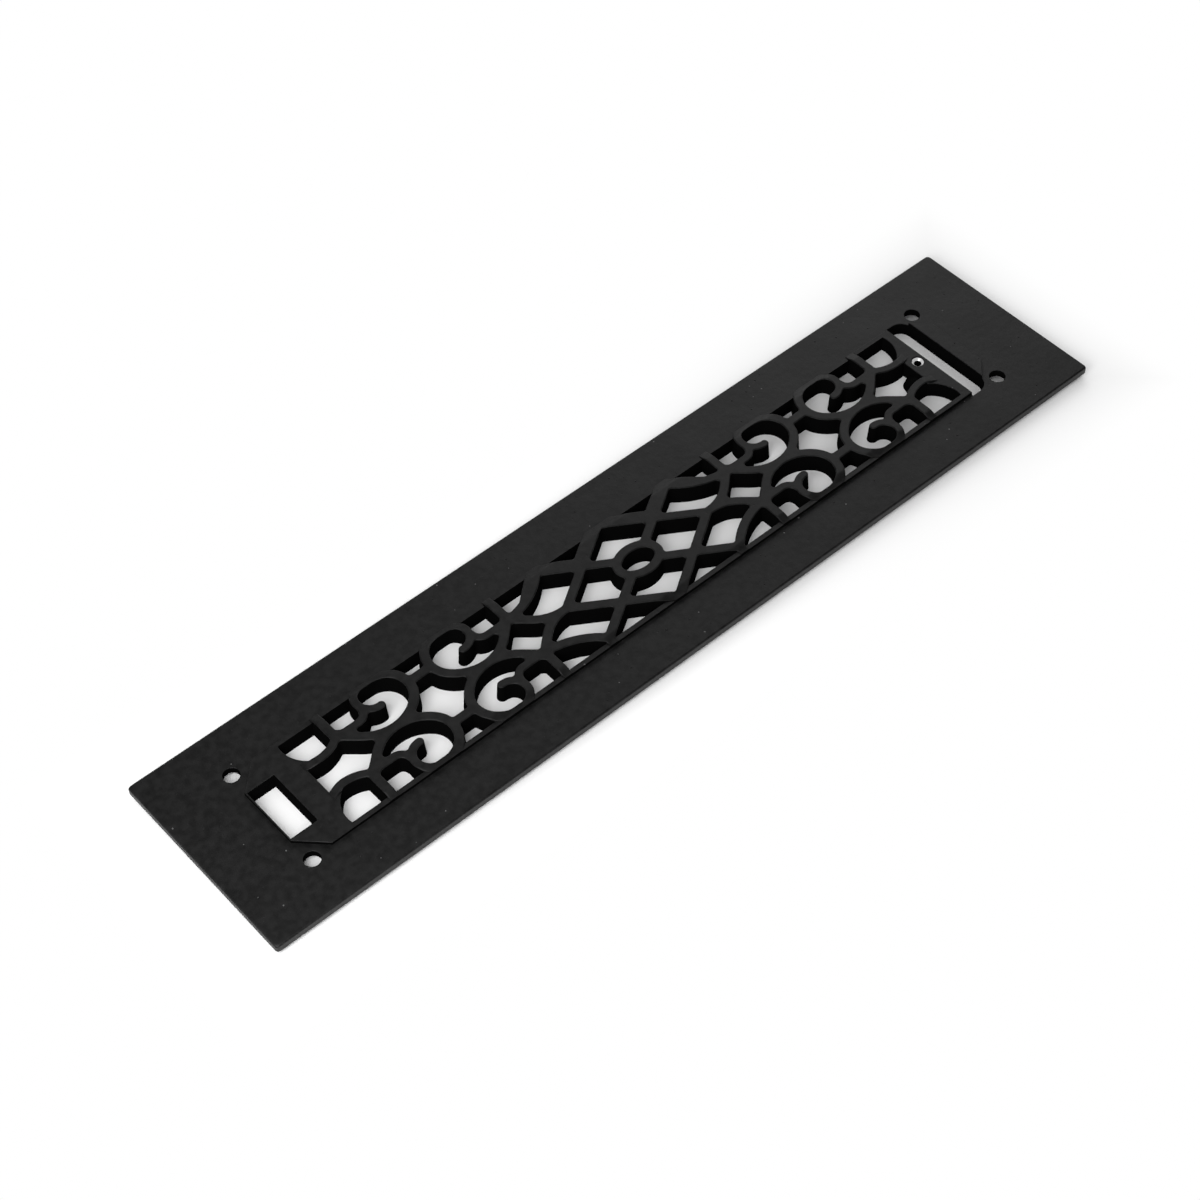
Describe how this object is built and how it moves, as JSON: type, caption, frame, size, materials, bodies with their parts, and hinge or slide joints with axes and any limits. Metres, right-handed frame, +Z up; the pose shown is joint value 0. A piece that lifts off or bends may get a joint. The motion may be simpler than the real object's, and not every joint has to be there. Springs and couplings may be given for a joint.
{
  "type": "floor register",
  "caption": "Long cast floor register plate with a pierced scroll and lattice grille, corner screw holes, and a lever window and slot for a damper, lying on its face with its back up.",
  "frame": {"origin": "middle of the plate, on its decorative face, which lies on the ground", "axes": "+X along the plate towards the slot end, +Y across it, +Z up out of the back, the way the panel stands into the duct"},
  "size_m": [0.4064, 0.0888, 0.008],
  "materials": {
    "black_casting": "satin black paint over a fine cast surface"
  },
  "bodies": {
    "root": {"register_plate": "black_casting"}
  },
  "joints": []
}
